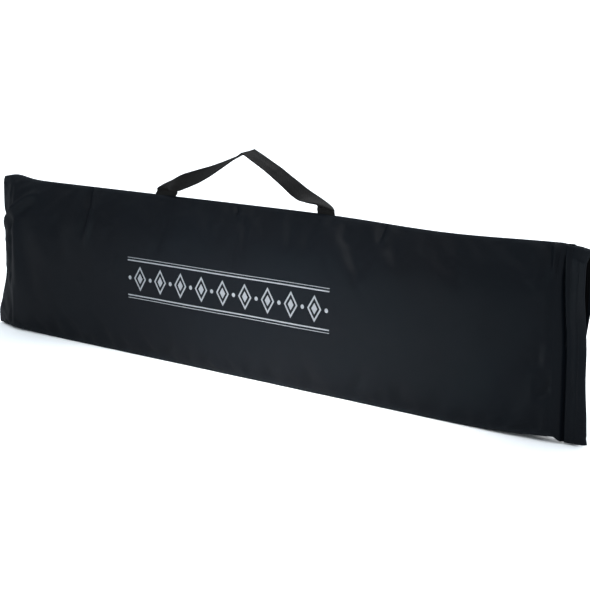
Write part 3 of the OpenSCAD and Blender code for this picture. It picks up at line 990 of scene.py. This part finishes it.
def lip_half(q, v):
    """Distance of a lip's outer face from the middle plane: a convex neck down to the closed line.

    Where the bag is thick the neck is part of an ellipse that ends steeply in the groove, and near
    the top seam, where the bag is thinner than the lips, it is a smoothstep. The gape adds a slope
    that is greatest below the corner, where the two lips are still held together.
    """
    root = half_breadth(groove_x, v)
    near = np.clip(q / neck_width(v), 0, 1)
    convex = closed_half + (root - closed_half) * np.sqrt((1 - mix(0.5, 1, near) ** 2) / (1 - 0.5**2))
    slope = mix(root, closed_half, smooth(near))
    thick = smooth((root - closed_half) / (4 * mm))
    gape = lip_gape * smooth((v - 0.46) / 0.34) * smooth((1.005 - v) / 0.07) * q / band_width
    return mix(slope, convex, thick) + gape


def lip_relief(q, v, side):
    """Heights on a lip: the ridge beside the groove, the sunken stitch lines, tack, dent and knob."""
    z = v * bag_height
    past = q - neck_width(v)
    valley = 1 * mm * bump(past / (1.4 * mm)) * smooth((0.93 - v) / 0.1)
    ridge = 2.6 * mm * bump((past - 3.6 * mm) / (2.6 * mm))
    ridge += 1.6 * mm * bump((q - 21 * mm) / (7 * mm)) * smooth((0.9 - v) / 0.3)
    sunk = sum(0.45 * mm * bump((q - line) / (1.2 * mm)) for line in stitch_lines)
    swells = 0.5 * mm * waves(q + 0.3 * side, z, 51, 9, 80, 24)
    on_tack = smooth((q - tack_from) / mm) * smooth((tack_to - q) / mm)
    tack = 0.4 * mm * bump((z - tack_z) / (1.6 * mm)) * on_tack
    dent = 1.1 * mm * bump((q - dent_place) / (4 * mm)) * bump((z - dent_z) / (11 * mm))
    knob = 1.5 * mm * smooth((q - knob_from) / (3 * mm)) * smooth((knob_z - z) / (5 * mm))
    return smooth(past / (2 * mm)) * (ridge - sunk + swells + tack - dent + knob) - valley


def lip_surface(q, v, side):
    """Outer points of a lip on a grid of q and v, and their unit normals.

    The mouth's edge is drawn in: on the front lip less at its two corners, and on the back lip
    more towards the base.
    """
    q, v = np.meshgrid(q, v, indexing="ij")
    near_edge = np.clip((q - edge_from) / (band_width - edge_from), 0, 1)
    if side < 0:
        corners_out = 2 * mm * (bump(v / 0.045) + smooth((v - 0.9) / 0.1))
        drawn_in = front_draw * smooth((v - 0.07) / 0.3) - corners_out
    else:
        drawn_in = mix(back_draw, mouth_draw, smooth((v - 0.5) / 0.3))
    low = bottom_z(groove_x) - lip_hang * smooth(q / (9 * mm)) + 2 * mm * near_edge**3 * bump(v / 0.02)
    z = mix(low, top_z(groove_x) - lip_droop * q / band_width, v)
    points = np.stack([groove_x + q - drawn_in * near_edge, side * lip_half(q, v), z], -1)
    normals = grid_normals(points, points * [0, 1, 0])
    return points + normals * lip_relief(q, v, side)[..., None], normals


def lip_thickness(q, v):
    """A lip's thickness: thin where it leaves the top seam, full beyond the groove."""
    root = np.clip(0.75 * half_breadth(groove_x, v) / lip_t, 0.2, 1)
    return lip_t * mix(root, 1, smooth(q / neck_width(v)))


def make_lip(name, node, side):
    """One lip: a folded hem with round rims, whose first column is the cover's last."""
    neck = np.linspace(0, 12 * mm, 22)[:-1]
    hem = rim_spaced(12 * mm - hem_round, band_width, 30, hem_round)[4:]
    q = np.concatenate([neck, hem])
    height = top_z(groove_x) - bottom_z(groove_x)
    v = rim_spaced(0, 1, 120, hem_round / height)
    outer, normals = lip_surface(q, v, side)
    q_grid, v_grid = np.meshgrid(q, v, indexing="ij")
    thickness = lip_thickness(q_grid, v_grid)
    from_rim = np.minimum(band_width - q_grid, np.minimum(v_grid, 1 - v_grid) * height)
    round_rim = mix(1, rim_share(from_rim, hem_round), smooth(q_grid / (4 * mm)))
    middle = outer - normals * thickness[..., None] / 2
    half = (thickness * round_rim / 2)[..., None]
    lip = sheet_piece(name, middle + normals * half, middle - normals * half, grid_lengths(outer), band_cloth)
    float_attribute(lip, "worn", 0.5 * bump(from_rim / (1.5 * mm)))
    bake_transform(lip)
    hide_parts(node)


def tubes(rings):
    """Quads of many short tubes from rings of four points: array of tube, ring, corner, xyz."""
    count, steps = rings.shape[:2]
    i, j = np.meshgrid(np.arange(steps - 1), np.arange(4), indexing="ij")
    a, b = (4 * i + j).ravel(), (4 * i + (j + 1) % 4).ravel()
    last = 4 * (steps - 1)
    caps = [[3, 2, 1, 0], [last, last + 1, last + 2, last + 3]]
    quads = np.concatenate([np.stack([a, b, b + 4, a + 4], 1), caps])
    quads = (quads[None] + (np.arange(count) * 4 * steps)[:, None, None]).reshape(-1, 4)
    points = rings.reshape(-1, 3)
    return points, quads, points[:, [0, 2]]


thread_half_width, thread_half_height = 0.42 * mm, 0.3 * mm
stitch_pitch, stitch_length = 3.4 * mm, 2.6 * mm


def stitch_rings(path, normals, pitch, length):
    """Stitches along a path: five square rings each, that swell as a half circle between the ends."""
    reach = path_lengths(path)
    middles = np.arange(pitch / 2, reach[-1], pitch)
    shares = np.array([-1, -0.75, 0, 0.75, 1])
    places = middles[:, None] + shares * length / 2
    centre = np.stack([np.interp(places, reach, path[:, k]) for k in range(3)], -1)
    normal = unit(np.stack([np.interp(places, reach, normals[:, k]) for k in range(3)], -1))
    along = unit(np.broadcast_to(centre[:, -1:] - centre[:, :1], centre.shape))
    beside = np.cross(along, normal)
    swell = np.sqrt(1 - (0.96 * shares) ** 2)[None, :, None]
    wide, high = beside * swell * thread_half_width, normal * swell * thread_half_height
    return np.stack([centre - wide, centre + high, centre + wide, centre - high], 2)


def make_lip_stitches(name, body, side):
    """Two rows of thread down a lip, and near the base a bar tack across it with short rows below.

    Each tack has the heights of its rows as shares, where they start and end, how many points
    they follow, and the stitches' pitch and length in mm.
    """
    v = np.linspace(0.02, 0.98, 200)
    lots = []
    for line in stitch_lines:
        points, normals = lip_surface(line + mm * np.array([-0.3, 0, 0.3]), v, side)
        lots.append(stitch_rings(points[1], normals[1], stitch_pitch, stitch_length))
    tacks = [
        ((0.103, 0.112), 23.5, 34.5, 60, 1.6, 1.5),
        (np.linspace(0.045, 0.09, 6), 31.5, 34.5, 30, 2.9, 2.6),
    ]
    for heights, first, last, count, pitch, length in tacks:
        q = np.linspace(first * mm, last * mm, count)
        for height in heights:
            points, normals = lip_surface(q, height + np.array([-0.002, 0, 0.002]), side)
            lots.append(stitch_rings(points[:, 1], normals[:, 1], pitch * mm, length * mm))
    piece = mesh_object(name, *tubes(np.concatenate(lots)), thread)
    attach(piece, body)


tape_reach = (10.5 * mm, 29 * mm)
tape_gap = 0.05 * mm
pile_t, hook_base_t = 0.95 * mm, 0.45 * mm
hook_pitch_q, hook_pitch_z = 1.8 * mm, 2.1 * mm


def make_closure_tape(name, node, body, side):
    """A tape sewn inside a lip: a thin woven base; hooks stand on one, and pile covers the other."""
    q = rim_spaced(*tape_reach, 44, 0.5 * mm)
    v = rim_spaced(0.02, 0.98, 300, 0.0025)
    surface, normals = lip_surface(q, v, side)
    q_grid, v_grid = np.meshgrid(q, v, indexing="ij")
    inside = surface - normals * lip_thickness(q_grid, v_grid)[..., None]
    pile = side > 0
    fuzz = pile * 0.18 * mm * waves(q_grid, v_grid * 0.2, 61, 24, 3.2, 1.4)
    base = pile_t if pile else hook_base_t
    outer = inside - normals * tape_gap
    inner = inside - normals * (tape_gap + base + fuzz)[..., None]
    # The loop tape's near-black colour is painted shade for the shadow inside the gape
    tape = sheet_piece(name, outer, inner, grid_lengths(outer), loop_pile_painted_dark if pile else hook_nylon)
    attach(tape, body)
    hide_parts(node)


def make_hooks(body, side):
    """Rows of small hooks on the hook tape, each a bent spike of four square rings."""
    q = np.arange(12.2 * mm, 27.8 * mm, hook_pitch_q)
    v = np.arange(0.03, 0.97, hook_pitch_z / bag_height)
    surface, normals = lip_surface(q, v, side)
    q_grid, v_grid = np.meshgrid(q, v, indexing="ij")
    foot = surface - normals * (lip_thickness(q_grid, v_grid)[..., None] + hook_base_t)
    foot, up = foot.reshape(-1, 1, 3), -normals.reshape(-1, 1, 3)
    row = np.arange(len(q))[:, None] + np.zeros(len(v))
    lean = np.where(row.reshape(-1, 1, 1) % 2 < 1, 1.0, -1.0) * np.array([0, 0, 1])
    heights = mm * np.array([0, 0.4, 0.68, 0.6])[None, :, None]
    leans = mm * np.array([0, 0, 0.22, 0.5])[None, :, None]
    half = mm * np.array([0.24, 0.18, 0.16, 0.1])[None, :, None]
    centre = foot + up * heights + lean * leans
    beside = unit(np.cross(up, lean))
    corners = [beside * half, lean * half, -beside * half, -lean * half]
    rings = np.stack([centre + corner for corner in corners], 2)
    piece = mesh_object("hook_rows", *tubes(rings), hook_nylon)
    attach(piece, body)


make_cover()
make_pad("front_pad", "front_padding", -1)
make_pad("back_pad", "back_padding", 1)
make_lining()
make_seam_tapes()
make_webbing()
make_lip("front_lip_hem", "front_lip", -1)
make_lip("back_lip_hem", "back_lip", 1)
make_lip_stitches("front_lip_stitches", "front_lip", -1)
make_lip_stitches("back_lip_stitches", "back_lip", 1)
make_closure_tape("hook_strip", "hook_tape", "front_lip", -1)
make_closure_tape("loop_strip", "loop_tape", "back_lip", 1)
make_hooks("front_lip", -1)


def soft_lamp(name, place, aim, size, watts, spread=180, colour=(1, 1, 1)):
    """A rectangular area lamp with a beam of a given spread, turned from its place to its aim."""
    data = bpy.data.lights.new(name, "AREA")
    data.shape = "RECTANGLE"
    data.energy = watts
    data.spread = math.radians(spread)
    data.size, data.size_y = size
    data.color = colour
    lamp = bpy.data.objects.new(name, data)
    bpy.context.scene.collection.objects.link(lamp)
    lamp.location = place
    way = Vector(aim) - Vector(place)
    lamp.rotation_euler = way.to_track_quat("-Z", "Y").to_euler()
    lamp.visible_camera = False


def soft_light():
    """A pale floor, a world that is brighter overhead and on the right, and four soft lamps."""
    scene = bpy.context.scene
    world = bpy.data.worlds.new("studio")
    world.use_nodes = True
    tree = world.node_tree
    direction = add_node(tree, "TexCoord")["Generated"]
    parts = add_node(tree, "SeparateXYZ", {0: direction})
    climb = {0: parts[2], 1: 0.05, 2: 0.8, 3: 0.5, 4: 2.0}
    overhead = add_node(tree, "MapRange", climb, interpolation_type="SMOOTHSTEP")[0]
    to_left = add_node(tree, "MapRange", {0: parts[0], 1: -0.9, 2: 0.3, 3: 0.8, 4: 1.0})[0]
    strength = add_node(tree, "Math", {0: overhead, 1: to_left}, operation="MULTIPLY")[0]
    # A thin band at the horizon is as pale as the floor that it meets
    horizon = add_node(tree, "MapRange", {0: parts[2], 1: 0.004, 2: 0.02, 3: 1.4, 4: 0.0})[0]
    strength = add_node(tree, "Math", {0: strength, 1: horizon}, operation="MAXIMUM")[0]
    fill_inputs(tree, tree.nodes["Background"], {"Color": (0.93, 1, 1.06, 1), "Strength": strength})
    scene.world = world
    reach = 1500
    corners = [(-reach, -reach, 0), (reach, -reach, 0), (reach, reach, 0), (-reach, reach, 0)]
    mesh = bpy.data.meshes.new("floor")
    mesh.from_pydata(corners, [], [(0, 1, 2, 3)])
    floor = bpy.data.objects.new("floor", mesh)
    scene.collection.objects.link(floor)
    material, tree, shader = new_material("matt_paper_floor")
    fill_inputs(tree, shader, {"Base Color": linear("#f4f4f4"), "Roughness": 0.9})
    mesh.materials.append(material)
    # The low lamp in front makes the pool of light on the wall, and is tinted as a window is
    soft_lamp("front", (-0.26, -0.6, 0.06), (0.1, 0, 0.08), (0.5, 0.12), 0.8, colour=(0.66, 0.93, 1))
    soft_lamp("behind", (-1.4, 2.2, 2.0), (0, 0, 0.1), (1.6, 1.6), 32)
    soft_lamp("low_behind", (0.1, 0.7, 0.3), (0.05, 0, 0.1), (0.8, 0.2), 3)
    soft_lamp("low_front", (0.05, -0.34, 0.45), (0.05, -0.12, 0), (0.35, 0.1), 1.1, spread=60)
    scene.view_settings.view_transform = "Standard"


soft_light()
